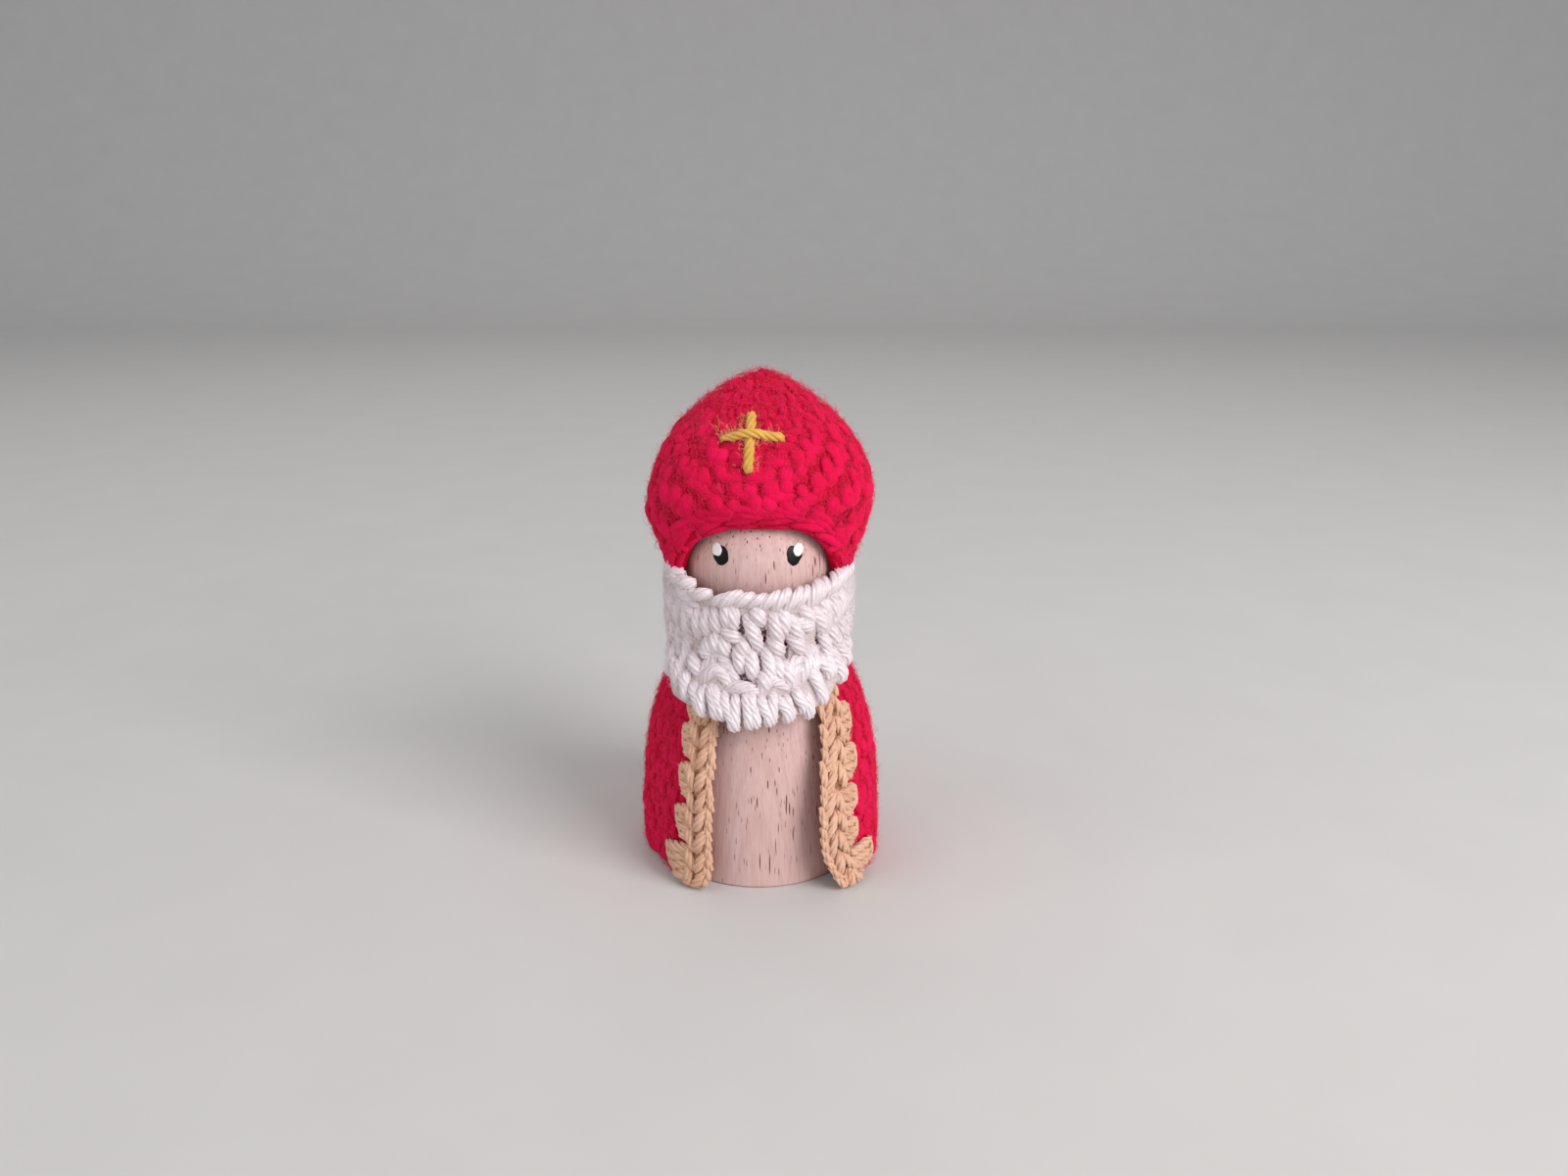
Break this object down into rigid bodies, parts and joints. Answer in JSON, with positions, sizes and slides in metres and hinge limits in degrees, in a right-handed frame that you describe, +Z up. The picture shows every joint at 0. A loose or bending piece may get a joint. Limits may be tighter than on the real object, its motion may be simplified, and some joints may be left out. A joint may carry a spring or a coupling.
{
  "type": "crocheted wooden figure",
  "caption": "Turned beech peg doll with painted eyes, dressed in a crocheted open-fronted cape with toothed trims, a looped beard and a loose pointed mitre.",
  "frame": {"origin": "middle of the peg's flat base, on the surface it stands on", "axes": "+Z up along the peg's turning axis; the face looks along -Y; +X is to the right of someone who looks at the face"},
  "size_m": [0.0414, 0.0414, 0.0846],
  "materials": {
    "beech": "turned and sanded beech, unvarnished",
    "black_paint": "satin craft paint",
    "white_paint": "satin craft paint",
    "red_yarn": "soft brushed yarn in single crochet",
    "gold_yarn": "plied cotton yarn",
    "yellow_yarn": "plied wool yarn",
    "white_yarn": "glossy plied cotton yarn"
  },
  "bodies": {
    "figure": {"peg_body": "beech", "pupil_left": "black_paint", "pupil_right": "black_paint", "eye_glint_left": "white_paint", "eye_glint_right": "white_paint", "cape": "red_yarn", "neck_chain": "red_yarn", "trim_left": "gold_yarn", "trim_right": "gold_yarn", "beard": "white_yarn"},
    "mitre": {"mitre": "red_yarn", "cross_upright_stitch": "yellow_yarn", "cross_bar_stitch": "yellow_yarn"}
  },
  "joints": [
    {"name": "mitre_lift", "type": "slide", "parent": "figure", "child": "mitre", "axis": [0, 0, 1], "range_m": [0, 0.04]}
  ]
}
